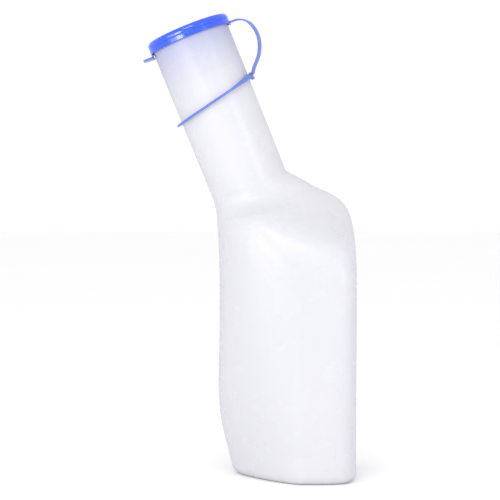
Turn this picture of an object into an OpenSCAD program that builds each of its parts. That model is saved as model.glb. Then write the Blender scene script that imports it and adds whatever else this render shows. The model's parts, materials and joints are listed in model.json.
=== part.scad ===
// Portable urine bottle: a blow-moulded tank that stands on its base or lies on
// its flat side, with a leaning neck, a snap lid and a strap-and-collar tether.
// The bottle stands on z = 0. The neck leans towards -X and the flat lying
// side faces +X. Y is the depth, and the bottle is symmetric about y = 0.

/* [Tank] */
// Thickness of the tank, from the narrow side to the flat lying side
tank_t = 84; // [78:1:88]
// Depth of the tank where it is widest
tank_d = 94; // [86:1:100]
// Wall thickness of the bottle
wall = 1.5; // [1.2:0.1:1.8]
// Radius of the rounded edge around the base
base_r = 5; // [4:0.5:6]
// How far the lying side is planed flat below the section's full width
lying_flat = 0.5; // [0.3:0.1:0.8]

/* [Neck] */
// Lean of the neck away from upright
lean = 22; // [21:0.1:23.5]
// Length of the neck from the shoulder to the mouth
neck_len = 101; // [90:1:108]
// Outer diameter of the straight upper neck
neck_od = 48.8; // [48.4:0.1:49.2]
// Outer diameter of the neck where it meets the shoulder
neck_foot_od = 48; // [47.2:0.1:48.3]
// How far the snap bead under the lid stands out from the neck
bead_h = 0.4; // [0.3:0.05:0.5]
// Length of the straight upper stretch of the neck
neck_straight = 36; // [20:1:60]

/* [Lid] */
// Outer diameter of the lid
lid_od = 52.3; // [52:0.1:53]
// Height of the lid over everything
lid_h = 7.1; // [6.8:0.1:7.6]
// Thickness of the lid's top plate
lid_plate = 1.1; // [1:0.1:1.4]
// Gap between the snap bead of the mouth and the lid's skirt
lid_gap = 0.45; // [0.4:0.05:0.5]
// Gap between the lid's plate and the lip of the mouth
lid_rest_gap = 0.3; // [0.2:0.05:0.4]
// Radius of the rounded top edge of the lid
lid_edge_r = 2.4; // [1.6:0.1:2.5]
// Width of the pull tab
tab_w = 13; // [10:0.5:16]
// How far the pull tab reaches out from the lid
tab_reach = 5.9; // [4:0.1:8]

/* [Tether] */
// Width of the strap
strap_w = 5; // [4:0.1:6]
// Thickness of the strap
strap_t = 1; // [0.8:0.1:1.2]
// Outer diameter of the collar ring
collar_od = 56.4; // [56:0.1:57.5]
// Height and radial thickness of the collar ring
collar_t = 1.5; // [1.2:0.1:1.7]
// Slant of the collar ring across the neck
collar_slant = 11.8; // [8:0.1:13]
// Dip of the collar ring's front below its back
collar_dip = 2.4; // [0:0.1:4]

/* [Scale] */
// Distance between two graduation marks
mark_pitch = 4.8; // [4:0.1:6]
// How far a graduation mark stands proud of the wall
mark_proud = 0.3; // [0.2:0.05:0.5]

/* [Hidden] */

$fn = 96;

// The neck's foot, and the unit vectors along the neck and across it
foot = [-22.8, 178.4];
along = [-sin(lean), cos(lean)];
across = [cos(lean), sin(lean)];
mouth = foot + neck_len * along;

hw = tank_t / 2;
hd = tank_d / 2;
neck_r = neck_od / 2;
foot_r = neck_foot_od / 2;
lid_r = lid_od / 2;
skirt_in_r = neck_r + bead_h + lid_gap;
skirt_h = lid_h - lid_plate - lid_rest_gap;

// ---------------------------------------------------------------- tank shape
// The tank is a loft between two rails in the y = 0 plane. Each station holds
// the left rail point, the right rail point, the x of the widest place, the
// half depth there, and the roundness exponents of the section's two halves.
//   [xl, zl, xr, zr, x_wide, half_depth, left_p, left_q, right_n]
STATIONS = [
    [-hw + 9.8,   0, hw,       0,  7, hd - 1.0, 1.18, 1.42, 5.2],
    [-hw + 6.2,  15, hw,      15,  7, hd - 0.6, 1.20, 1.45, 5.2],
    [-hw + 2.2,  32, hw,      32,  7, hd - 0.3, 1.25, 1.50, 5.3],
    [-hw + 0.4,  52, hw,      52,  7, hd,       1.38, 1.60, 5.5],
    [-hw + 0.8,  78, hw,      78,  8, hd,       1.60, 1.75, 5.8],
    [-hw + 1.1, 102, hw,     102,  8, hd,       1.85, 1.95, 6.0],
    [-hw + 1.0, 122, hw,     122,  7, hd - 0.3, 2.05, 2.10, 6.0],
    [-hw + 0.7, 133, hw,     137,  2, hd - 1.6, 2.10, 2.15, 4.3],
    [-hw + 0.4, 143, hw - 0.8, 151, -6, hd - 4.2, 2.10, 2.15, 2.15],
    [-hw - 0.1, 149.5, hw - 4.0, 162.2, -13, hd - 7.0, 2.10, 2.10, 1.45],
    [-hw - 0.4, 154.5, hw - 9.2, 169.0, -16, hd - 11.4, 2.05, 2.05, 1.32],
    [-hw - 0.7, 158.8, hw - 16.0, 173.2, -18, hd - 17.8, 2.0, 2.0, 1.42],
    [-hw - 1.2, 162.4, hw - 24.8, 177.2, -19.4, hd - 22.0, 2.0, 2.0, 1.6],
    [-hw - 1.8, 165.4, hw - 33.2, 182.0, -20.6, hd - 23.0, 2.0, 2.0, 1.8],
    [-hw - 2.5, 167.8, hw - 39.6, 185.2, -21.6, hd - 23.1, 2.0, 2.0, 1.95]
];
// The neck's foot closes the list, and a section 8 mm up the neck guides the tangent
function neck_row(up, r) =
    let (c = foot + up * along, l = c - r * across, q = c + r * across)
    [l[0], l[1], q[0], q[1], c[0], r, 2, 2, 2];
ROWS = concat(STATIONS, [neck_row(0, foot_r)]);
LAST = len(ROWS) - 1;
SPLIT = 6;
RING = 48;

function row_at(k) =
    k < 0 ? 2 * ROWS[0] - ROWS[1]
    : k > LAST ? neck_row(8, foot_r)
    : ROWS[k];
// Catmull-Rom interpolation between the stations
function station(t) =
    let (i = min(LAST - 1, floor(t)), f = t - i,
         a = row_at(i - 1), b = row_at(i), c = row_at(i + 1), d = row_at(i + 2))
    0.5 * (2 * b + f * (c - a) + f * f * (2 * a - 5 * b + 4 * c - d)
           + f * f * f * (3 * b - a - 3 * c + d));
// The same station moved inwards by the wall thickness
function inner_station(t) =
    t >= LAST ? neck_row(0, foot_r - wall)
    : let (s = station(t), d = station(t + 0.05) - station(max(0, t - 0.05)),
           dl = [d[0], d[1]] / norm([d[0], d[1]]),
           dr = [d[2], d[3]] / norm([d[2], d[3]]),
           ds = (norm([d[0], d[1]]) + norm([d[2], d[3]])) / 2)
      [s[0] + wall * dl[1], s[1] - wall * dl[0],
       s[2] - wall * dr[1], s[3] + wall * dr[0],
       s[4], s[5] - wall * sqrt(1 + pow(d[5] / ds, 2)), s[6], s[7], s[8]];
function inset(s, e) = [s[0] + e, s[1], s[2] - e, s[3], s[4], s[5] - e, s[6], s[7], s[8]];
function at_height(s, z) = [s[0], z, s[2], z, s[4], s[5], s[6], s[7], s[8]];

// One point of a section; a = 0 is the lying side, a = 180 the narrow side
function section_point(s, a, face = 1000) =
    let (c = abs(cos(a)), n = abs(sin(a)), right = cos(a) > 0,
         span = right ? s[2] - s[4] : s[4] - s[0],
         x0 = s[4] + (right ? 1 : -1) * span * pow(c, 2 / (right ? s[8] : s[6])),
         y = s[5] * pow(n, 2 / (right ? s[8] : s[7])) * (sin(a) < 0 ? -1 : 1),
         x = min(x0, face),
         z = s[1] + (s[3] - s[1]) * (x - s[0]) / (s[2] - s[0]))
    [x, y, z];
function ring(s, face = 1000) = [for (i = [0:RING - 1]) section_point(s, 360 * i / RING, face)];

outer_face = hw - lying_flat;
inner_face = outer_face - wall;
FILLET = [0, 20, 40, 60, 78, 90];
TANK_T = [for (t = [0.34:1/3:SPLIT + 0.01]) min(t, SPLIT)];
SHOULDER_T = [for (t = [SPLIT:0.5:LAST]) t];

// The station whose left rail is at height z, in the lowest stretch
function low_station(z) = at_height(station(z / STATIONS[1][1]), z);

tank_outer = concat(
    [for (i = [len(FILLET) - 1:-1:0])
        inset(low_station(base_r * (1 - sin(FILLET[i]))), base_r * (1 - cos(FILLET[i])))],
    [for (t = TANK_T) if (station(t)[1] > base_r + 1) station(t)]);
in_r = base_r - wall;
tank_inner = concat(
    [for (i = [len(FILLET) - 1:-1:0])
        let (z = wall + in_r * (1 - sin(FILLET[i])))
        inset(low_station(z), wall + in_r * (1 - cos(FILLET[i])))],
    [for (t = TANK_T) if (station(t)[1] > base_r + 1) inner_station(t)]);

// A closed tube between outer sections and inner sections, joined at both ends
module shell(outer, inner) {
    rings = concat([for (s = outer) ring(s, outer_face)],
                   [for (i = [len(inner) - 1:-1:0]) ring(inner[i], inner_face)]);
    n = len(rings);
    polyhedron(
        points = [for (r = rings) each r],
        faces = [for (k = [0:n - 1], i = [0:RING - 1])
            let (j = (i + 1) % RING, m = (k + 1) % n)
            each [[k * RING + i, m * RING + j, k * RING + j],
                  [k * RING + i, m * RING + i, m * RING + j]]]);
}

module tank_wall() {
    color("WhiteSmoke", 0.6) shell(tank_outer, tank_inner);
}

// Flat floor of the tank, inside the rounded edge
module base_panel() {
    s = tank_outer[0];
    color("WhiteSmoke", 0.6)
        linear_extrude(wall)
            polygon([for (p = ring(s, outer_face)) [p[0], p[1]]]);
}

module shoulder() {
    color("WhiteSmoke", 0.6)
        shell([for (t = SHOULDER_T) station(t)], [for (t = SHOULDER_T) inner_station(t)]);
}

// ----------------------------------------------------------------- neck frame
// Places children with +Z along the neck and the origin at the mouth's centre
module on_neck() {
    translate([mouth[0], 0, mouth[1]]) rotate([0, -lean, 0]) children();
}

lip_r = 0.5;
bore_r = neck_r - wall;
// Tube of the neck, with the snap bead around the lip of the mouth
module neck_tube() {
    bead_r = neck_r + bead_h;
    bead_z = -2.4;
    color("WhiteSmoke", 0.6)
        on_neck()
            rotate_extrude()
                polygon([[bore_r, -lip_r], [bore_r + lip_r, 0], [bead_r - 2 * lip_r, 0],
                         [bead_r, -2 * lip_r], [bead_r, bead_z], [neck_r, bead_z - bead_h],
                         [neck_r, -neck_straight], [foot_r, -neck_len],
                         [foot_r - wall, -neck_len], [bore_r, -neck_straight]]);
}

// ---------------------------------------------------------- graduation marks
MARKS_FROM = 20;
MARK_COUNT = 22;
mark_t = 0.9;
// The station whose section is level at height z
function station_at_z(z, k = 0) =
    k >= SPLIT - 1 || ROWS[k + 1][1] > z
        ? at_height(station(k + (z - ROWS[k][1]) / (ROWS[k + 1][1] - ROWS[k][1])), z)
        : station_at_z(z, k + 1);

// A bar that follows the wall around the narrow side, bedded a little into it
module mark(z, spread) {
    bed = 0.4;
    steps = 8;
    angles = [for (i = [0:steps]) 180 - spread + 2 * spread * i / steps];
    inner_low = inset(station_at_z(z), bed);
    outer_low = inset(station_at_z(z), -mark_proud);
    low = concat([for (a = angles) section_point(inner_low, a)],
                 [for (i = [steps:-1:0]) section_point(outer_low, angles[i])]);
    n = len(low);
    high = [for (p = low) p + [0, 0, mark_t]];
    polyhedron(
        points = concat(low, high),
        faces = concat(
            [for (i = [0:steps - 1]) each [[i, n - 2 - i, i + 1], [i, n - 1 - i, n - 2 - i]]],
            [for (i = [0:steps - 1])
                each [[n + i, n + i + 1, 2 * n - 2 - i], [n + i, 2 * n - 2 - i, 2 * n - 1 - i]]],
            [for (i = [0:n - 1])
                let (j = (i + 1) % n) each [[i, j, n + j], [i, n + j, n + i]]]));
}

module graduation_marks() {
    color("WhiteSmoke")
        for (i = [0:MARK_COUNT - 1])
            mark(MARKS_FROM + i * mark_pitch - mark_t / 2, i % 4 == 0 ? 22 : i % 2 == 0 ? 17 : 12);
}

// ------------------------------------------------------------------------ lid
lid_top = lid_rest_gap + lid_plate;
lid_foot = lid_top - lid_h;
// Shallow groove that runs round the skirt
groove_z = lid_foot + 3.2;
groove_t = 0.5;
groove_d = 0.35;

module lid_cap() {
    skirt_lead = 0.4;
    edge = [for (a = [0:15:90]) [lid_r - lid_edge_r + lid_edge_r * cos(a),
                                 lid_top - lid_edge_r + lid_edge_r * sin(a)]];
    inside = [[0, lid_rest_gap], [skirt_in_r, lid_rest_gap],
              [skirt_in_r, lid_foot + skirt_lead], [skirt_in_r + skirt_lead, lid_foot]];
    groove = [[lid_r, groove_z - groove_t / 2], [lid_r - groove_d, groove_z],
              [lid_r, groove_z + groove_t / 2]];
    color("RoyalBlue")
        on_neck()
            rotate_extrude()
                polygon(concat(inside, [[lid_r, lid_foot]], groove, edge, [[0, lid_top]]));
}

// Low ring under the plate that bears on the lip of the mouth
module seal_bead() {
    lip_mid = neck_r - wall / 2;
    half_w = 0.5;
    color("RoyalBlue")
        on_neck()
            rotate_extrude()
                polygon([[lip_mid - half_w, lid_rest_gap], [lip_mid, 0.05],
                         [lip_mid + half_w, lid_rest_gap]]);
}

tab_t = 1.3;
tab_z = lid_foot - 2.6;
tab_corner_r = 3;
// Flat finger tab, rounded at its outer end
module pull_tab() {
    root = skirt_in_r + 0.3;
    tip = lid_r + tab_reach;
    color("RoyalBlue")
        on_neck()
            translate([0, 0, tab_z])
                linear_extrude(tab_t)
                    intersection() {
                        difference() {
                            circle(r = tip, $fn = 120);
                            circle(r = root, $fn = 120);
                        }
                        hull() {
                            for (side = [-1, 1])
                                translate([-tip + tab_corner_r, side * (tab_w / 2 - tab_corner_r)])
                                    circle(r = tab_corner_r, $fn = 32);
                            translate([-root + 2, 0]) square([0.1, tab_w], center = true);
                        }
                    }
}

// Upright web that joins the tab to the foot of the skirt
module tab_rib() {
    rib_in_r = skirt_in_r + 0.3;
    rib_w = tab_w - 3;
    rib_foot = tab_z + tab_t;
    color("RoyalBlue")
        on_neck()
            intersection() {
                translate([0, 0, rib_foot])
                    difference() {
                        cylinder(r = lid_r, h = lid_foot - rib_foot);
                        translate([0, 0, -1]) cylinder(r = rib_in_r, h = lid_h);
                    }
                translate([-lid_r - 1, -rib_w / 2, rib_foot])
                    cube([lid_r, rib_w, lid_foot - rib_foot]);
            }
}

// The strap bends where it leaves the lid: the bead on the skirt is the bend's axis
lug_r = 0.95;
lug_w = strap_w + 0.6;
bend_x = lid_r + 0.6;
bend_z = lid_foot + 0.9;
// Bead on the skirt that the strap grows out of, and a short peg under the skirt
module strap_lug() {
    peg_w = 2.4;
    peg_x = skirt_in_r + 0.3;
    peg_h = 1.2;
    color("RoyalBlue")
        on_neck()
            union() {
                translate([bend_x, lug_w / 2, bend_z])
                    rotate([90, 0, 0]) cylinder(r = lug_r, h = lug_w, $fn = 48);
                translate([peg_x, -peg_w / 2, lid_foot + 0.4 - peg_h])
                    cube([lid_r - peg_x - 0.05, peg_w, peg_h]);
            }
}

// --------------------------------------------------------------------- tether
// Route of the strap in the neck's frame: out of the lid, round and down to the collar
STRAP_GAP = 0.35;
STRAP_ROUTE = [
    [bend_x + lug_r + STRAP_GAP, 0, bend_z],
    [31.2, -0.2, -5.1],
    [34.7, -0.7, -6.8],
    [37.6, -1.4, -10.6],
    [39.0, -2.4, -17.2],
    [38.0, -3.6, -23.9],
    [34.7, -5.0, -30.5],
    [29.9, -6.2, -35.8],
    [27.2, -6.7, -39.0]
];
// Twist of the strap's width, and the place on the route where its flexing stretch ends
STRAP_TWIST = 20;
STRAP_FLEX = 2;
function route_at(k) =
    let (n = len(STRAP_ROUTE) - 1)
    k < 0 ? 2 * STRAP_ROUTE[0] - STRAP_ROUTE[1]
    : k > n ? 2 * STRAP_ROUTE[n] - STRAP_ROUTE[n - 1]
    : STRAP_ROUTE[k];
function route(t) =
    let (i = min(len(STRAP_ROUTE) - 2, floor(t)), f = t - i,
         a = route_at(i - 1), b = route_at(i), c = route_at(i + 1), d = route_at(i + 2))
    0.5 * (2 * b + f * (c - a) + f * f * (2 * a - 5 * b + 4 * c - d)
           + f * f * f * (3 * b - a - 3 * c + d));
// Four corners of the strap's section, its width turned by the twist
function strap_corners(t) =
    let (p = route(t), v0 = route(t + 0.02) - route(t - 0.02), v = v0 / norm(v0),
         turn = STRAP_TWIST * min(1, t / 3),
         w0 = [sin(turn), cos(turn), 0], w1 = w0 - (w0 * v) * v, w = w1 / norm(w1),
         n = cross(v, w))
    [for (c = [[1, 1], [-1, 1], [-1, -1], [1, -1]])
        p + c[0] * strap_w / 2 * w + c[1] * strap_t / 2 * n];

// The strap from one place on its route to another
module strap_run(from, to) {
    steps = [for (t = [from:0.25:to]) t];
    n = len(steps);
    color("RoyalBlue")
        on_neck()
            polyhedron(
                points = [for (t = steps) each strap_corners(t)],
                faces = concat(
                    [[0, 1, 2], [0, 2, 3],
                     [4 * n - 4, 4 * n - 2, 4 * n - 3], [4 * n - 4, 4 * n - 1, 4 * n - 2]],
                    [for (k = [0:n - 2], i = [0:3])
                        let (j = (i + 1) % 4)
                        each [[4 * k + i, 4 * k + 4 + j, 4 * k + j],
                              [4 * k + i, 4 * k + 4 + i, 4 * k + 4 + j]]]));
}

// First stretch of the strap, which flexes when the lid is flipped open
module strap_bend() {
    strap_run(0, STRAP_FLEX);
}

module tether_strap() {
    strap_run(STRAP_FLEX, len(STRAP_ROUTE) - 1);
}

collar_r = collar_od / 2;
COLLAR_SHIFT = -0.1;
COLLAR_DROP = 46.1;
// Places children in the collar ring's own plane
module on_collar() {
    on_neck()
        translate([COLLAR_SHIFT, 0, -COLLAR_DROP])
            rotate([0, -collar_slant, 0])
                rotate([collar_dip, 0, 0])
                    children();
}

module collar_ring() {
    bevel = 0.3;
    color("RoyalBlue")
        on_collar()
            rotate_extrude()
                translate([collar_r - collar_t, -collar_t / 2])
                    polygon([[bevel, 0], [collar_t - bevel, 0], [collar_t, bevel],
                             [collar_t, collar_t - bevel], [collar_t - bevel, collar_t],
                             [bevel, collar_t], [0, collar_t - bevel], [0, bevel]]);
}

// Block on the collar ring in which the strap ends
FOOT_AT = 14;
module strap_foot() {
    size = [1.7, 4.2, 4.2];
    color("RoyalBlue")
        on_collar()
            rotate([0, 0, -FOOT_AT])
                translate([collar_r - size[0] + 0.1, -size[1] / 2, -size[2] / 2 + 0.1])
                    cube(size);
}

// Wedge on top of the collar ring that carries the strap's end and tapers out along the ring
LUG_MID = 34;
LUG_HALF = 26;
LUG_HIGH = 2.2;
LUG_LOW = 0.5;
module collar_lug() {
    lug_t = collar_t - 0.3;
    mean_h = (LUG_HIGH + LUG_LOW) / 2;
    slope = asin((LUG_HIGH - LUG_LOW) / (2 * collar_r * sin(LUG_HALF)));
    color("RoyalBlue")
        on_collar()
            translate([0, 0, collar_t / 2])
                rotate([0, 0, -LUG_MID])
                    difference() {
                        rotate([0, 0, -LUG_HALF])
                            rotate_extrude(angle = 2 * LUG_HALF)
                                translate([collar_r - lug_t, 0]) square([lug_t, LUG_HIGH]);
                        translate([0, 0, mean_h])
                            rotate([slope, 0, 0])
                                translate([0, -collar_r, 0]) cube([collar_od, collar_od, LUG_HIGH]);
                    }
}

tank_wall();
base_panel();
shoulder();
neck_tube();
graduation_marks();
lid_cap();
seal_bead();
pull_tab();
tab_rib();
strap_lug();
strap_bend();
tether_strap();
strap_foot();
collar_ring();
collar_lug();
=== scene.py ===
"""A portable urine bottle: one milky blow-moulded bottle with a leaning neck, and
one blue moulding that is its lid, strap and collar.

Shapes are worked out in millimetres, in the same terms as the CAD source, and
turned into the frame's metres when a mesh is made.
"""

import json
import math
from collections import namedtuple

import bmesh
import bpy
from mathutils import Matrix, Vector


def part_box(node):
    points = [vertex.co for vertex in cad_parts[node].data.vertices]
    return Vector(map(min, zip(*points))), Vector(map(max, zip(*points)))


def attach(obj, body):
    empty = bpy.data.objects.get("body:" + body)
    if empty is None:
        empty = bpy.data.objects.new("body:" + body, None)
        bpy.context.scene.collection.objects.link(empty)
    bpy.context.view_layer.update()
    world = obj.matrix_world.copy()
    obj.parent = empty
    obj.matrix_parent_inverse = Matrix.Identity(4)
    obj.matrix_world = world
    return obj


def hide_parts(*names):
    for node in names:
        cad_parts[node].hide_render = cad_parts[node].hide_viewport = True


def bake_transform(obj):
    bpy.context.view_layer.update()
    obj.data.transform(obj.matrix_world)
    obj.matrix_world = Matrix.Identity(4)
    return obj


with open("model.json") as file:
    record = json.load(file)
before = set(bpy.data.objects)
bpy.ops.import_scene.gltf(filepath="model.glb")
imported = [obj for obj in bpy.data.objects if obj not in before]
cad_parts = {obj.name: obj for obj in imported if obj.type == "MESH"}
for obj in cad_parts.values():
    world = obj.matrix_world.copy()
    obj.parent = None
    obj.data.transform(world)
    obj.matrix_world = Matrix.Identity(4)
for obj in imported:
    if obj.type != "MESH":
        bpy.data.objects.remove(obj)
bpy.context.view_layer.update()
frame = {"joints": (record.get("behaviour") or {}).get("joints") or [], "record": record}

MM = 0.001
SCENE = bpy.context.scene

# ------------------------------------------------------------ measures from CAD
TANK_LOW, TANK_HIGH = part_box("tank_wall")
HALF_D = (TANK_HIGH[1] - TANK_LOW[1]) / 2 / MM
FACE_X = TANK_HIGH[0] / MM  # the flat of the lying side
HALF_W = FACE_X + 0.5  # the crown that the flat cuts off
WALL = 1.5

JOINTS = {joint["name"]: joint for joint in frame["joints"]}
MOUTH = Vector(JOINTS["collar_turn"]["pos_m"]) / MM
ALONG = Vector(JOINTS["collar_turn"]["axis"]).normalized()
ACROSS = Vector((ALONG.z, 0, -ALONG.x))
DEPTH = Vector((0, 1, 0))

BORE = next(m for m in frame["record"]["mounts"] if m["name"] == "mouth_bore")
BORE_R = BORE["dims"]["r_mm"]
NECK_R = BORE_R + WALL
NECK_LEN = 101.0
NECK_STRAIGHT = 36.0  # the stretch below the mouth that doesn't widen
FOOT_R = 24.0
FOOT = MOUTH - NECK_LEN * ALONG
BEAD_H = 0.4


def neck_point(u, v, w):
    """A point in the neck's frame: u across, v in depth, w along from the mouth."""
    return MOUTH + u * ACROSS + v * DEPTH + w * ALONG


# ----------------------------------------------------------------------- meshes
def make_piece(name, points, faces, body, material):
    """A smooth mesh object from points in millimetres. It may ride on a body."""
    mesh = bpy.data.meshes.new(name)
    mesh.from_pydata([Vector(p) * MM for p in points], [], faces)
    bm = bmesh.new()
    bm.from_mesh(mesh)
    bmesh.ops.recalc_face_normals(bm, faces=bm.faces)
    bm.to_mesh(mesh)
    bm.free()
    for face in mesh.polygons:
        face.use_smooth = True
    mesh.materials.append(material)
    piece = bpy.data.objects.new(name, mesh)
    SCENE.collection.objects.link(piece)
    if body:
        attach(piece, body)
    return piece


def skin_rings(rings, closed_along=False):
    """Points and faces of a tube of rings, with capped ends unless its ends meet."""
    count, around = len(rings), len(rings[0])
    points = [p for ring in rings for p in ring]
    last = count if closed_along else count - 1
    faces = []
    for k in range(last):
        for i in range(around):
            here, above = k * around, (k + 1) % count * around
            j = (i + 1) % around
            faces.append((here + i, here + j, above + j, above + i))
    if not closed_along:
        faces.append(tuple(range(around)))
        faces.append(tuple(range((count - 1) * around, count * around)))
    return points, faces


def arc(cx, cy, r, start, end, steps):
    """Points on an arc of a profile, in degrees."""
    angles = [math.radians(start + (end - start) * i / steps) for i in range(steps + 1)]
    return [(cx + r * math.cos(a), cy + r * math.sin(a)) for a in angles]


def lathe(profile, around):
    """Rings about the neck's axis from a profile of (radius, height)."""
    angles = [2 * math.pi * i / around for i in range(around)]
    return [
        [neck_point(r * math.cos(a), r * math.sin(a), w) for a in angles]
        for r, w in profile
    ]


def catmull_rom(a, b, c, d, f):
    """The row at share f of the way from row b to row c of four rows."""
    return tuple(
        0.5
        * (
            2 * q
            + f * (r - p)
            + f * f * (2 * p - 5 * q + 4 * r - s)
            + f**3 * (3 * q - p - 3 * r + s)
        )
        for p, q, r, s in zip(a, b, c, d)
    )


def beyond(a, b):
    """The row that carries a table on past its end row a, away from row b."""
    return tuple(2 * p - q for p, q in zip(a, b))


def along_table(table, t):
    """A smooth row at place t of a table that has one extra row at either end."""
    i = min(len(table) - 4, max(0, math.floor(t)))
    return catmull_rom(*table[i : i + 4], t - i)


# ----------------------------------------------------------------- bottle's form
# A station is a section of the bottle: its narrow-side point at the left and its
# lying-side point at the right, the x of its widest place and the half depth
# there, and the exponents that round its two halves.
Station = namedtuple(
    "Station", "left_x left_z right_x right_z wide_x half_d left_px left_py right_p"
)
STATIONS = [
    (-HALF_W + 9.8, 0, HALF_W, 0, 7, HALF_D - 1.0, 1.18, 1.42, 5.2),
    (-HALF_W + 6.2, 15, HALF_W, 15, 7, HALF_D - 0.6, 1.20, 1.45, 5.2),
    (-HALF_W + 2.2, 32, HALF_W, 32, 7, HALF_D - 0.3, 1.25, 1.50, 5.3),
    (-HALF_W + 0.4, 52, HALF_W, 52, 7, HALF_D, 1.38, 1.60, 5.5),
    (-HALF_W + 0.8, 78, HALF_W, 78, 8, HALF_D, 1.60, 1.75, 5.8),
    (-HALF_W + 1.1, 102, HALF_W, 102, 8, HALF_D, 1.85, 1.95, 6.0),
    (-HALF_W + 1.0, 122, HALF_W, 122, 7, HALF_D - 0.3, 2.05, 2.10, 6.0),
    (-HALF_W + 0.7, 133, HALF_W, 137, 2, HALF_D - 1.6, 2.10, 2.15, 4.3),
    (-HALF_W + 0.4, 143, HALF_W - 0.8, 151, -6, HALF_D - 4.2, 2.10, 2.15, 2.15),
    (-HALF_W - 0.1, 149.5, HALF_W - 4.0, 162.2, -13, HALF_D - 7.0, 2.10, 2.10, 1.45),
    (-HALF_W - 0.4, 154.5, HALF_W - 9.2, 169.0, -16, HALF_D - 11.4, 2.05, 2.05, 1.32),
    (-HALF_W - 0.7, 158.8, HALF_W - 16.0, 173.2, -18, HALF_D - 17.8, 2.0, 2.0, 1.42),
    (-HALF_W - 1.2, 162.4, HALF_W - 24.8, 177.2, -19.4, HALF_D - 22.0, 2.0, 2.0, 1.6),
    (-HALF_W - 1.8, 165.4, HALF_W - 33.2, 182.0, -20.6, HALF_D - 23.0, 2.0, 2.0, 1.8),
    (-HALF_W - 2.5, 167.8, HALF_W - 39.6, 185.2, -21.6, HALF_D - 23.1, 2.0, 2.0, 1.95),
]
LEVEL_STATIONS = 7  # the first ones lie level, the later ones tilt to the neck
PAST_FOOT = 8  # where the extra row lies that steers the form into the neck


def neck_station(up, r):
    """A round section of the neck, a little way up from its foot."""
    middle = FOOT + up * ALONG
    left, right = middle - r * ACROSS, middle + r * ACROSS
    return Station(left.x, left.z, right.x, right.z, middle.x, r, 2.0, 2.0, 2.0)


ROWS = [Station(*row) for row in STATIONS] + [neck_station(0, FOOT_R)]
LAST = len(ROWS) - 1
TABLE = [beyond(ROWS[0], ROWS[1])] + ROWS + [neck_station(PAST_FOOT, FOOT_R)]


def station(t):
    return Station(*along_table(TABLE, t))


def inset(s, e):
    """The station drawn in by e all round, at its own height."""
    return s._replace(left_x=s.left_x + e, right_x=s.right_x - e, half_d=s.half_d - e)


def at_height(s, z):
    return s._replace(left_z=z, right_z=z)


NUDGE = 0.05  # how far along the table a station's slope is measured


def inner_station(t):
    """The same station moved inwards by the wall, square to its rails."""
    if t >= LAST:
        return neck_station(0, FOOT_R - WALL)
    s = station(t)
    ahead, behind = station(t + NUDGE), station(max(0, t - NUDGE))
    lx, lz = ahead.left_x - behind.left_x, ahead.left_z - behind.left_z
    rx, rz = ahead.right_x - behind.right_x, ahead.right_z - behind.right_z
    left, right = math.hypot(lx, lz), math.hypot(rx, rz)
    slope = (ahead.half_d - behind.half_d) / ((left + right) / 2)
    return s._replace(
        left_x=s.left_x + WALL * lz / left,
        left_z=s.left_z - WALL * lx / left,
        right_x=s.right_x - WALL * rz / right,
        right_z=s.right_z + WALL * rx / right,
        half_d=s.half_d - WALL * math.hypot(1, slope),
    )


def section_point(s, a, face=math.inf):
    """One point of a section: a = 0 is the lying side, cut flat at the x of face,
    and a = pi is the narrow side."""
    c, n = abs(math.cos(a)), abs(math.sin(a))
    if math.cos(a) > 0:
        span, px, py = s.right_x - s.wide_x, s.right_p, s.right_p
    else:
        span, px, py = s.left_x - s.wide_x, s.left_px, s.left_py
    x = min(s.wide_x + span * c ** (2 / px), face)
    y = s.half_d * n ** (2 / py) * (-1 if math.sin(a) < 0 else 1)
    tilt = (s.right_z - s.left_z) / (s.right_x - s.left_x)
    return Vector((x, y, s.left_z + tilt * (x - s.left_x)))


HALF_RING = 96  # steps along half a section
FINE = 720  # steps that its outline is measured with
TINY = 1e-9


def section(s, face):
    """A section as a ring of points evenly spaced along each half's outline."""
    fine = [section_point(s, math.pi * i / FINE, face) for i in range(FINE + 1)]
    fine[0].y = fine[-1].y = 0
    lengths = [0.0]
    for p, q in zip(fine, fine[1:]):
        lengths.append(lengths[-1] + (q - p).length)
    half, k = [], 0
    for i in range(HALF_RING + 1):
        want = lengths[-1] * i / HALF_RING
        while k < FINE - 1 and lengths[k + 1] < want:
            k += 1
        part = (want - lengths[k]) / max(lengths[k + 1] - lengths[k], TINY)
        half.append(fine[k].lerp(fine[k + 1], min(max(part, 0), 1)))
    return half + [Vector((p.x, -p.y, p.z)) for p in reversed(half[1:-1])]


BASE_R = 5.0
EDGE_STEPS = 9
BODY_FROM = 0.37  # the place in the table just above the rounded bottom edge
BODY_STEP = 0.1


def tank_rings(inner):
    """Rings up the tank from its rounded bottom edge to the neck's foot."""
    off = WALL if inner else 0
    r, face = BASE_R - off, FACE_X - off
    rings = []
    for i in range(EDGE_STEPS, 0, -1):
        a = math.pi / 2 * i / EDGE_STEPS
        z = off + r * (1 - math.sin(a))
        low = at_height(station(z / STATIONS[1][1]), z)
        rings.append(section(inset(low, off + r * (1 - math.cos(a))), face))
    t = BODY_FROM
    while t < LAST - BODY_STEP / 10:
        rings.append(section(inner_station(t) if inner else station(t), face))
        t += BODY_STEP
    rings.append(section(neck_station(0, FOOT_R - off), face))
    return rings


PUSH_UP = 1.6
# Rings across the base: the share of its outline, and the height of each.
PUSH_UP_RINGS = (
    (0.3, PUSH_UP),
    (0.6, PUSH_UP),
    (0.78, PUSH_UP),
    (0.84, PUSH_UP * 0.75),
    (0.90, 0.3),
    (0.94, 0),
)


def floor_rings(outline, z):
    """Rings that close the base, pushed up in its middle."""
    middle = sum(outline, Vector()) / len(outline)
    return [
        [Vector((middle.x + k * (p.x - middle.x), k * p.y, z + lift)) for p in outline]
        for k, lift in PUSH_UP_RINGS
    ]


TAPER_STEPS = 14
BEAD_EDGE_R = 0.5
LIP_OUT_R, LIP_IN_R = 0.6, 0.5


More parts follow.
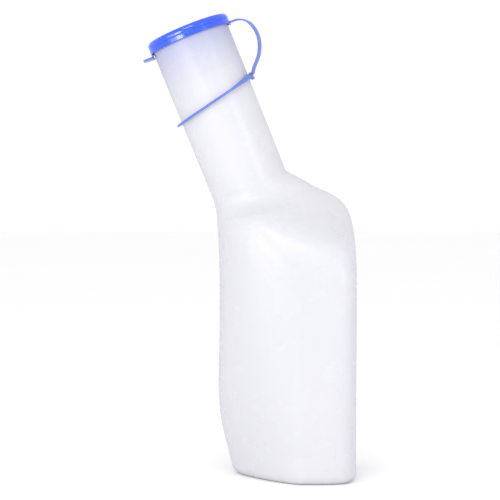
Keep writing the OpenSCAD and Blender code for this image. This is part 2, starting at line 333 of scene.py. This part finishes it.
def neck_profile():
    """The neck from its foot, up outside, over the bead and the lip, down inside."""
    taper = NECK_LEN - NECK_STRAIGHT
    ways = [i / TAPER_STEPS for i in range(1, TAPER_STEPS)]
    rise = [(FOOT_R + (NECK_R - FOOT_R) * f, -NECK_LEN + taper * f) for f in ways]
    outside = [(NECK_R, w) for w in (-NECK_STRAIGHT, -18, -6, -3.4)]
    bead_r = NECK_R + BEAD_H
    bead = [(NECK_R + 0.1, -3.1)]
    bead += arc(bead_r - BEAD_EDGE_R, -2.3, BEAD_EDGE_R, -50, 0, 4)
    lip = arc(bead_r - LIP_OUT_R, -0.7, LIP_OUT_R, 0, 90, 6)
    lip += arc(BORE_R + LIP_IN_R, -LIP_IN_R, LIP_IN_R, 90, 180, 6)
    inside = [(BORE_R, w) for w in (-6, -18, -NECK_STRAIGHT)]
    fall = [(r - WALL, w) for r, w in reversed(rise)]
    return rise + outside + bead + lip + inside + fall


def make_bottle(material):
    """The whole blow moulding as one closed skin, outside and inside."""
    outer, inner = tank_rings(False), tank_rings(True)
    rings = floor_rings(outer[0], 0) + outer
    rings += lathe(neck_profile(), 2 * HALF_RING)
    rings += inner[::-1] + floor_rings(inner[0], WALL)[::-1]
    points, faces = skin_rings(rings)
    bottle = make_piece("bottle_skin", points, faces, "bottle", material)
    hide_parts("tank_wall", "base_panel", "shoulder", "neck_tube")


# ------------------------------------------------------------- graduation marks
MARK_COUNT = 22
MARK_PITCH = 4.8
MARKS_FROM = 20.0
MARK_H = 0.9
MARK_PROUD = 0.3
MARK_BED = 0.3  # how deep a bar is set into the wall
MARK_REACH = (22, 12, 17, 12)  # degrees round the side, for each bar of four
MARK_STEPS = 14
BULGE_STEPS = 6
MARK_END_SHARE = 0.3  # a bar's ends keep this share of its height


def level_station(z):
    """The station at a height of the level part of the tank."""
    k = max(i for i in range(LEVEL_STATIONS) if ROWS[i].left_z <= z)
    f = (z - ROWS[k].left_z) / (ROWS[k + 1].left_z - ROWS[k].left_z)
    return at_height(station(k + f), z)


def mark_ring(z, a, fade):
    """A bar's section at an angle: its bulge outside, its bed in the wall."""
    high = MARK_H * max(fade, MARK_END_SHARE)
    heights = [z + high * (j / BULGE_STEPS - 0.5) for j in range(BULGE_STEPS + 1)]
    ring = []
    for j, h in enumerate(heights):
        proud = MARK_PROUD * math.sin(math.pi * j / BULGE_STEPS) * fade
        ring.append(section_point(inset(level_station(h), -proud), a))
    for h in (heights[-1], heights[0]):
        ring.append(section_point(inset(level_station(h), MARK_BED), a))
    return ring


def make_marks(material):
    """Low rounded bars around the narrow side, longest at each fourth."""
    points, faces = [], []
    for k in range(MARK_COUNT):
        spread = math.radians(MARK_REACH[k % 4])
        rings = []
        for i in range(MARK_STEPS + 1):
            f = 2 * i / MARK_STEPS - 1
            fade = math.sqrt(max(0, 1 - f**8))
            z = MARKS_FROM + k * MARK_PITCH
            rings.append(mark_ring(z, math.pi - spread * f, fade))
        bar_points, bar_faces = skin_rings(rings)
        faces += [tuple(len(points) + i for i in face) for face in bar_faces]
        points += bar_points
    marks = make_piece("marks", points, faces, "bottle", material)
    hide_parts("graduation_marks")


# -------------------------------------------------------------------------- lid
LID_R = 26.15
LID_TOP = 1.4
LID_FOOT = LID_TOP - 7.1
LID_EDGE_R = 2.4
SKIRT_IN_R = NECK_R + BEAD_H + 0.45
SKIRT_MID_R = SKIRT_IN_R + 0.3  # the pieces set into the skirt end here
PLATE_UNDER = 0.3
AXIS_R = 0.01
RIM_IN_R, RIM_OUT_R = 0.45, 0.35
GROOVE_Z, GROOVE_H, GROOVE_D = LID_FOOT + 3.2, 0.28, 0.35
LID_AROUND = 160


def lid_profile():
    """The cap's closed profile. Points close beside an edge keep its flats flat."""
    under, low, high = PLATE_UNDER, GROOVE_Z - GROOVE_H, GROOVE_Z + GROOVE_H
    plate = [(AXIS_R, under), (SKIRT_IN_R - 3, under), (SKIRT_IN_R - 0.3, under)]
    inside = [(SKIRT_IN_R, under - 0.3), (SKIRT_IN_R, LID_FOOT + 0.5)]
    rim = arc(SKIRT_IN_R + RIM_IN_R, LID_FOOT + RIM_IN_R, RIM_IN_R, 180, 270, 3)
    rim += arc(LID_R - RIM_OUT_R, LID_FOOT + RIM_OUT_R, RIM_OUT_R, 270, 360, 4)
    below = [(LID_R, LID_FOOT + 0.42), (LID_R, low - 0.22), (LID_R, low - 0.15)]
    groove = [
        (LID_R - 0.1, low),
        (LID_R - GROOVE_D, GROOVE_Z - 0.08),
        (LID_R - GROOVE_D, GROOVE_Z + 0.08),
        (LID_R - 0.1, high),
    ]
    above = [(LID_R, high + 0.15), (LID_R, high + 0.22)]
    above += [(LID_R, LID_TOP - LID_EDGE_R - 0.07)]
    edge = arc(LID_R - LID_EDGE_R, LID_TOP - LID_EDGE_R, LID_EDGE_R, 0, 90, 10)
    step = [(22.6, 0), (22.2, 0.1), (21.9, 0.4), (21.4, 0.5)]
    sunk = [(12, 0.45), (2.2, 0.4), (1.9, 0.3), (1.2, 0.15), (AXIS_R, 0.1)]
    top = [(r, LID_TOP - drop) for r, drop in step + sunk]
    return plate + inside + rim + below + groove + above + edge + top


def make_lid(material):
    """Turned cap: rounded top edge, a sunk middle, a groove round the skirt."""
    points, faces = skin_rings(lathe(lid_profile(), LID_AROUND), closed_along=True)
    lid = make_piece("lid", points, faces, "lid", material)
    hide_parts("lid_cap", "seal_bead")


TAB_Z = LID_FOOT - 2.6
TAB_W = 13.0
TAB_TIP = LID_R + 5.9
TAB_FRONT_STEPS, TAB_BACK_STEPS = 28, 12
TAB_LIFT = 0.25 / 6  # how much the tab rises outwards
# Layers of the tab, each its height and the share of the outline.
TAB_LAYERS = (
    (0, 0.5),
    (0, 0.88),
    (0.12, 0.96),
    (0.4, 1),
    (0.9, 1),
    (1.18, 0.96),
    (1.3, 0.88),
    (1.3, 0.5),
)


def tab_outline():
    """The tab from above: a blunt rounded tip, and a back that follows the skirt."""
    half = TAB_W / 2
    outline = []
    for i in range(TAB_FRONT_STEPS + 1):
        v = half * math.sin(math.pi * (i / TAB_FRONT_STEPS - 0.5))
        fall = 1 - math.sqrt(max(0, 1 - (v / half) ** 2))
        outline.append((-(TAB_TIP - (TAB_TIP - SKIRT_MID_R - 1) * fall**1.3), v))
    for i in range(TAB_BACK_STEPS + 1):
        v = half * (1 - 2 * i / TAB_BACK_STEPS)
        outline.append((-math.sqrt(SKIRT_MID_R**2 - v**2), v))
    return outline


def make_tab(material):
    """Finger tab with a rounded edge."""
    outline = tab_outline()
    middle = sum(u for u, _ in outline) / len(outline)
    rings = []
    for w, k in TAB_LAYERS:
        ring = []
        for u, v in outline:
            height = TAB_Z + w + TAB_LIFT * (-u - SKIRT_MID_R)
            ring.append(neck_point(middle + k * (u - middle), k * v, height))
        rings.append(ring)
    points, faces = skin_rings(rings)
    tab = make_piece("tab", points, faces, "lid", material)
    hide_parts("pull_tab")


WEB_OUT_R = LID_R - 0.1
WEB_REACH = (TAB_W / 2 - 1.5) / LID_R  # half its width, as an angle
WEB_STEPS = 16
# Layers of the web, each its height and its width as a share: flared at both ends.
WEB_LAYERS = (
    (TAB_Z + 1.1, 1.12),
    (TAB_Z + 1.5, 1.03),
    (LID_FOOT - 1.0, 1.0),
    (LID_FOOT - 0.4, 1.03),
    (LID_FOOT + 0.3, 1.1),
)


def make_web(material):
    """The web that joins the tab to the skirt."""
    rings = []
    for w, k in WEB_LAYERS:
        ways = [k * WEB_REACH * (2 * i / WEB_STEPS - 1) for i in range(WEB_STEPS + 1)]
        outline = [(WEB_OUT_R, a) for a in ways]
        outline += [(SKIRT_MID_R, a) for a in reversed(ways)]
        rings.append(
            [neck_point(-r * math.cos(a), r * math.sin(a), w) for r, a in outline]
        )
    points, faces = skin_rings(rings)
    web = make_piece("tab_web", points, faces, "lid", material)
    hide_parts("tab_rib")


# ----------------------------------------------------------------------- tether
BEND = (LID_R + 0.6, LID_FOOT + 0.9)
STRAP_W = 5.0
STRAP_T = 1.0
STRAP_EDGE_R = 0.32
STRAP_TWIST = 20.0
TWIST_FROM, TWIST_OVER = 1, 3  # where on the route the strap turns
STRAP_ROOT = 0.3  # how much thicker the strap is at its root
STRAP_ROUTE = [
    (LID_R - 0.35, 0, BEND[1]),
    (BEND[0] + 1.3, 0, BEND[1]),
    (31.2, -0.2, -5.1),
    (34.7, -0.7, -6.8),
    (37.6, -1.4, -10.6),
    (39.0, -2.4, -17.2),
    (38.0, -3.6, -23.9),
    (34.7, -5.0, -30.5),
    (29.9, -6.2, -35.8),
    (27.2, -6.7, -39.4),
]
STRAP_END = len(STRAP_ROUTE) - 1
STRAP_TABLE = [
    beyond(STRAP_ROUTE[0], STRAP_ROUTE[1]),
    *STRAP_ROUTE,
    beyond(STRAP_ROUTE[-1], STRAP_ROUTE[-2]),
]
STRAP_SPLIT = 4.0  # the place on the route where the bend piece ends
STRAP_STEPS = 16  # rings for each step of the route
STRAP_NUDGE = 0.02  # how far along the route its direction is measured
SEAM = 0.004  # how close to a cap the next ring lies


def rounded_bar(half_w, half_t, r, corner=4):
    """Outline of a bar's section with rounded corners."""
    out = []
    for cx, cy, start in ((1, 1, 0), (-1, 1, 90), (-1, -1, 180), (1, -1, 270)):
        out += arc(cx * (half_w - r), cy * (half_t - r), r, start, start + 90, corner)
    return out


def strap_place(t):
    return neck_point(*along_table(STRAP_TABLE, t))


def strap_section(t):
    """The strap's outline at one place on its route, turned a little on its way."""
    place = strap_place(t)
    before = strap_place(max(t - STRAP_NUDGE, 0))
    after = strap_place(min(t + STRAP_NUDGE, STRAP_END))
    ahead = (after - before).normalized()
    turn = math.radians(STRAP_TWIST * min(1, max(0, t - TWIST_FROM) / TWIST_OVER))
    wide = math.sin(turn) * ACROSS + math.cos(turn) * DEPTH
    wide = (wide - wide.dot(ahead) * ahead).normalized()
    thick = ahead.cross(wide)
    swell = 1 + STRAP_ROOT * max(0, 1 - t)
    outline = rounded_bar(STRAP_W / 2 * swell, STRAP_T / 2 * swell, STRAP_EDGE_R)
    return [place + x * wide + y * thick for x, y in outline]


def strap_piece(name, first, last, material):
    """A stretch of the strap. A ring close to each cap keeps the cap's edge crisp."""
    steps = round((last - first) * STRAP_STEPS)
    ways = [first + (last - first) * i / steps for i in range(steps + 1)]
    ways = [first, first + SEAM] + ways[1:-1] + [last - SEAM, last]
    points, faces = skin_rings([strap_section(t) for t in ways])
    return make_piece(name, points, faces, None, material)


def make_strap(material):
    """Flat strap: the stretch at the lid is fixed in place on no body, the rest rides
    the collar.
    """
    bend = strap_piece("strap_bend_skin", 0, STRAP_SPLIT, material)
    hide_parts("strap_bend")
    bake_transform(bend)

    strap = strap_piece("strap", STRAP_SPLIT, STRAP_END, material)
    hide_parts("tether_strap")
    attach(strap, "tether")


def rounded_block(name, corner, axes, size, r, body, material):
    """A block from a corner along three axes, its edges rounded."""
    bm = bmesh.new()
    bmesh.ops.create_cube(bm, size=1)
    for v in bm.verts:
        v.co = Vector([(v.co[i] + 0.5) * size[i] for i in range(3)])
    edges = bm.edges[:]
    bmesh.ops.bevel(bm, geom=edges, offset=r, segments=4, profile=0.5, affect="EDGES")
    points = [
        corner + sum((v.co[i] * axes[i] for i in range(3)), Vector()) for v in bm.verts
    ]
    faces = [tuple(v.index for v in f.verts) for f in bm.faces]
    bm.free()
    return make_piece(name, points, faces, body, material)


PEG_W, PEG_H = 2.4, 1.3
PEG_DROP = 0.8
PEG_EDGE_R = 0.2


def make_peg(material):
    """Peg under the skirt below the strap's root."""
    size = (LID_R - SKIRT_IN_R - 0.35, PEG_W, PEG_H)
    corner = neck_point(SKIRT_MID_R, -PEG_W / 2, LID_FOOT - PEG_DROP)
    axes = (ACROSS, DEPTH, ALONG)
    peg = rounded_block("strap_peg", corner, axes, size, PEG_EDGE_R, "lid", material)
    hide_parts("strap_lug")


COLLAR_R = 28.2
COLLAR_T = 1.5
COLLAR_EDGE_R = 0.4
COLLAR_SLANT = 11.8
COLLAR_DIP = 2.4
COLLAR_SHIFT = -0.1
COLLAR_DROP = 46.1
COLLAR_AROUND = 200
LUG_FROM, LUG_TO = 8.0, 64.0
LUG_HIGH = 2.3
LUG_RISE = 12  # its near end is this many times shorter than its whole length


def collar_point(a, r, h):
    """A point of the collar: angle in degrees, radius, height over its plane."""
    x, y, z = r * math.cos(math.radians(a)), r * math.sin(math.radians(a)), h
    dip, slant = math.radians(COLLAR_DIP), math.radians(COLLAR_SLANT)
    y, z = y * math.cos(dip) - z * math.sin(dip), y * math.sin(dip) + z * math.cos(dip)
    x, z = (
        x * math.cos(slant) - z * math.sin(slant),
        x * math.sin(slant) + z * math.cos(slant),
    )
    return neck_point(x + COLLAR_SHIFT, y, z - COLLAR_DROP)


def lug_height(a):
    """How far the lug stands over the ring at an angle: steep, then a long fall."""
    back = (360 - a) % 360
    if not LUG_FROM < back < LUG_TO:
        return 0.0
    f = (back - LUG_FROM) / (LUG_TO - LUG_FROM)
    return LUG_HIGH * min(1, f * LUG_RISE) * (1 - f) ** 0.9


def make_collar(material):
    """Collar ring whose top swells into a lug where the strap joins it."""
    outline = rounded_bar(COLLAR_T / 2, COLLAR_T / 2, COLLAR_EDGE_R)
    middle_r = COLLAR_R - COLLAR_T / 2
    rings = []
    for i in range(COLLAR_AROUND):
        a = 360 * i / COLLAR_AROUND
        ring = []
        for x, y in outline:
            lift = lug_height(a) if y > 0 else 0
            ring.append(collar_point(a, middle_r + x, y + lift))
        rings.append(ring)
    points, faces = skin_rings(rings, closed_along=True)
    collar = make_piece("collar", points, faces, "tether", material)
    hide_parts("collar_ring", "collar_lug")


STRAP_ENDS_AT = -14.0
STRAP_FOOT = (1.7, 4.2, 4.2)
STRAP_FOOT_EDGE_R = 0.45


def make_strap_foot(material):
    """The block that the strap's end and the collar run into."""
    a, size = STRAP_ENDS_AT, STRAP_FOOT
    out = (collar_point(a, COLLAR_R, 0) - collar_point(a, COLLAR_R - 1, 0)).normalized()
    up = (collar_point(a, COLLAR_R, 1) - collar_point(a, COLLAR_R, 0)).normalized()
    side = up.cross(out)
    corner = collar_point(a, COLLAR_R - size[0] + 0.1, -2.0) - side * size[1] / 2
    axes, r = (out, side, up), STRAP_FOOT_EDGE_R
    foot = rounded_block("strap_foot", corner, axes, size, r, "tether", material)
    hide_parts("strap_foot")


# -------------------------------------------------------------------- materials
def new_material(name):
    """A material with a Principled shader, its node tree and that shader."""
    material = bpy.data.materials.new(name)
    material.use_nodes = True
    tree = material.node_tree
    tree.nodes.clear()
    out = tree.nodes.new("ShaderNodeOutputMaterial")
    shader = tree.nodes.new("ShaderNodeBsdfPrincipled")
    tree.links.new(shader.outputs[0], out.inputs["Surface"])
    return material, tree, shader


def noise(tree, scale, detail, roughness=0.5):
    """Noise fixed to the object, from 0 to 1."""
    coord = tree.nodes.new("ShaderNodeTexCoord")
    node = tree.nodes.new("ShaderNodeTexNoise")
    node.inputs["Scale"].default_value = scale
    node.inputs["Detail"].default_value = detail
    node.inputs["Roughness"].default_value = roughness
    tree.links.new(coord.outputs["Object"], node.inputs["Vector"])
    return node.outputs["Fac"]


def ramp(tree, source, low, high, from_min=0.3, from_max=0.7):
    """Map a value onto a range. The middle of a noise maps onto all of it."""
    node = tree.nodes.new("ShaderNodeMapRange")
    node.inputs["From Min"].default_value = from_min
    node.inputs["From Max"].default_value = from_max
    node.inputs["To Min"].default_value = low
    node.inputs["To Max"].default_value = high
    tree.links.new(source, node.inputs["Value"])
    return node.outputs["Result"]


def feed_colour(tree, colour, socket):
    """Give a socket its colour, from another socket or as three numbers."""
    if hasattr(colour, "links"):
        tree.links.new(colour, socket)
    else:
        socket.default_value = (*colour, 1)


def mix_colour(tree, factor, a, b):
    node = tree.nodes.new("ShaderNodeMix")
    node.data_type = "RGBA"
    tree.links.new(factor, node.inputs["Factor"])
    feed_colour(tree, a, node.inputs[6])
    feed_colour(tree, b, node.inputs[7])
    return node.outputs[2]


def uneven_gloss(tree, shader, scale, detail, smooth, rough):
    """Roughness that wanders between two values, as light scuffs do."""
    scuffs = noise(tree, scale, detail, 0.6)
    tree.links.new(ramp(tree, scuffs, smooth, rough), shader.inputs["Roughness"])


def fine_bump(tree, shader, scale, strength, distance):
    """The slight unevenness of a moulded skin."""
    bump = tree.nodes.new("ShaderNodeBump")
    bump.inputs["Strength"].default_value = strength
    bump.inputs["Distance"].default_value = distance
    tree.links.new(noise(tree, scale, 2), bump.inputs["Height"])
    tree.links.new(bump.outputs["Normal"], shader.inputs["Normal"])


def let_light_through(tree, shader, colour, share):
    """Make a share of the surface glow in a colour with the light behind it."""
    through = tree.nodes.new("ShaderNodeBsdfTranslucent")
    feed_colour(tree, colour, through.inputs["Color"])
    blend = tree.nodes.new("ShaderNodeMixShader")
    blend.inputs["Fac"].default_value = share
    tree.links.new(shader.outputs[0], blend.inputs[1])
    tree.links.new(through.outputs[0], blend.inputs[2])
    out = next(n for n in tree.nodes if n.type == "OUTPUT_MATERIAL")
    tree.links.new(blend.outputs[0], out.inputs["Surface"])


# The painted blue light from the lid fades in between these two depths below the mouth.
SHINE_FROM, SHINE_TO = 46 * MM, 4 * MM  # how far below the mouth
SHINE_CURVE = 1.8


def painted_lid_light_mask(tree):
    """How far a point is up the neck's last stretch: the share of painted blue light,
    where the lid's blue light is painted into the wall's colour.
    """
    coord = tree.nodes.new("ShaderNodeTexCoord")
    along = tree.nodes.new("ShaderNodeVectorMath")
    along.operation = "DOT_PRODUCT"
    along.inputs[1].default_value = ALONG
    tree.links.new(coord.outputs["Object"], along.inputs[0])
    mouth = MOUTH.dot(ALONG) * MM
    rise = ramp(tree, along.outputs["Value"], 0, 1, mouth - SHINE_FROM, mouth - SHINE_TO)
    curve = tree.nodes.new("ShaderNodeMath")
    curve.operation = "POWER"
    curve.inputs[1].default_value = SHINE_CURVE
    tree.links.new(rise, curve.inputs[0])
    return curve.outputs[0]


MILKY_DEEP, MILKY_PALE = (0.80, 0.80, 0.838), (0.819, 0.817, 0.853)
# Painted light: the blue that light through the lid would cast on the wall near the
# mouth, painted into the wall's colour.
PAINTED_LID_LIGHT = (0.55, 0.57, 0.78)


def milky_plastic():
    """Natural polyethylene: a milky wall that lets light through, a little uneven. Near
    the mouth, the blue light from the lid is painted into its colour.
    """
    material, tree, shader = new_material("milky_polyethylene")
    clouds = ramp(tree, noise(tree, scale=10, detail=2), 0, 1)
    colour = mix_colour(tree, clouds, MILKY_DEEP, MILKY_PALE)
    # Paint the lid's blue light into the wall's colour near the mouth.
    colour = mix_colour(tree, painted_lid_light_mask(tree), colour, PAINTED_LID_LIGHT)
    feed_colour(tree, colour, shader.inputs["Base Color"])
    uneven_gloss(tree, shader, scale=40, detail=4, smooth=0.24, rough=0.30)
    fine_bump(tree, shader, scale=400, strength=0.05, distance=0.00006)
    shader.inputs["IOR"].default_value = 1.45
    shader.inputs["Specular IOR Level"].default_value = 0.5
    let_light_through(tree, shader, colour, share=0.35)
    return material


def blue_plastic(name, deep, pale, glow, share, gloss):
    """Dyed polyethylene moulding, glossy, with flow marks and fine scuffs. A share
    of its surface glows with the light behind it."""
    material, tree, shader = new_material(name)
    flow_marks = ramp(tree, noise(tree, scale=45, detail=2), 0, 1)
    colour = mix_colour(tree, flow_marks, deep, pale)
    feed_colour(tree, colour, shader.inputs["Base Color"])
    uneven_gloss(tree, shader, scale=60, detail=3, smooth=0.09, rough=0.12)
    fine_bump(tree, shader, scale=300, strength=0.01, distance=0.00004)
    shader.inputs["Specular IOR Level"].default_value = gloss
    let_light_through(tree, shader, glow, share)
    return material


def floor_material():
    """Matt paper, very nearly white."""
    material, tree, shader = new_material("studio_floor")
    shade = noise(tree, scale=1.5, detail=1)
    colour = mix_colour(tree, shade, (0.93, 0.93, 0.93), (0.95, 0.95, 0.95))
    feed_colour(tree, colour, shader.inputs["Base Color"])
    shader.inputs["Roughness"].default_value = 0.9
    shader.inputs["Specular IOR Level"].default_value = 0.1
    return material


# ----------------------------------------------------------------- studio setup
FLOOR_REACH = 6.0
WORLD_STRENGTH = 1.04
TANK_FOOT_AIM = Vector((0, 0, 0.05))
MIDDLE_AIM = Vector((-0.01, 0, 0.16))
LID_AIM = Vector((-0.065, -0.025, 0.269))
# Each light's aim, azimuth, elevation, distance, width and height, and watts.
SOFTBOXES = {
    "key_left": (LID_AIM, -25, -4, 0.7, (0.32, 0.08), 0.7),
    "key_right": (MIDDLE_AIM, 42, 13, 1.5, (0.13, 0.6), 2.4),
    "top_front": (MIDDLE_AIM, -7, 27, 1.5, (0.78, 0.24), 5.0),
    "fill_left": (TANK_FOOT_AIM, -50, 4, 1.4, (0.6, 0.3), 1.6),
}

SENSOR = 36
LENS = 118.8
CAMERA_AT = (-0.0223, -1.015, 0.1747)
CAMERA_DOWN = 2.08  # degrees below level


def make_floor():
    far = FLOOR_REACH
    corners = [(-far, -far, 0), (far, -far, 0), (far, far, 0), (-far, far, 0)]
    mesh = bpy.data.meshes.new("floor")
    mesh.from_pydata(corners, [], [(0, 1, 2, 3)])
    mesh.materials.append(floor_material())
    floor = bpy.data.objects.new("floor", mesh)
    SCENE.collection.objects.link(floor)


def softbox(name, aim, azimuth, elevation, distance, size, watts):
    """Area light that looks at the aim from an azimuth right of the camera."""
    light = bpy.data.lights.new(name, "AREA")
    light.shape = "RECTANGLE"
    light.size, light.size_y = size
    light.energy = watts
    lamp = bpy.data.objects.new(name, light)
    a, e = math.radians(azimuth), math.radians(elevation)
    way = Vector((math.sin(a) * math.cos(e), -math.cos(a) * math.cos(e), math.sin(e)))
    lamp.location = aim + distance * way
    lamp.rotation_euler = way.to_track_quat("Z", "Y").to_euler()
    SCENE.collection.objects.link(lamp)


def light_scene():
    """A bright even room, a strip for the lid's edge, and three soft panels."""
    for name, settings in SOFTBOXES.items():
        softbox(name, *settings)
    world = bpy.data.worlds.new("studio")
    world.use_nodes = True
    sky = world.node_tree.nodes["Background"]
    sky.inputs["Color"].default_value = (1, 1, 1, 1)
    sky.inputs["Strength"].default_value = WORLD_STRENGTH
    SCENE.world = world
    SCENE.view_settings.view_transform = "Standard"


def make_camera():
    data = bpy.data.cameras.new("camera")
    data.sensor_width = SENSOR
    data.lens = LENS
    camera = bpy.data.objects.new("camera", data)
    camera.location = CAMERA_AT
    camera.rotation_euler = (math.radians(90 - CAMERA_DOWN), 0, 0)
    SCENE.collection.objects.link(camera)
    SCENE.camera = camera


# ------------------------------------------------------------------------ build
make_camera()
light_scene()
make_floor()

milky = milky_plastic()
blue = blue_plastic(
    "blue_lid",
    deep=(0.002, 0.07, 0.86),
    pale=(0.008, 0.095, 0.94),
    glow=(0.12, 0.22, 1.0),
    share=0.1,
    gloss=1.0,
)
thin_blue = blue_plastic(
    "blue_tether",
    deep=(0.14, 0.22, 0.66),
    pale=(0.18, 0.28, 0.74),
    glow=(0.25, 0.35, 0.85),
    share=0.3,
    gloss=0.5,
)
make_bottle(milky)
make_marks(milky)
make_lid(blue)
make_tab(thin_blue)
make_web(thin_blue)
make_peg(blue)
make_strap(thin_blue)
make_collar(thin_blue)
make_strap_foot(thin_blue)
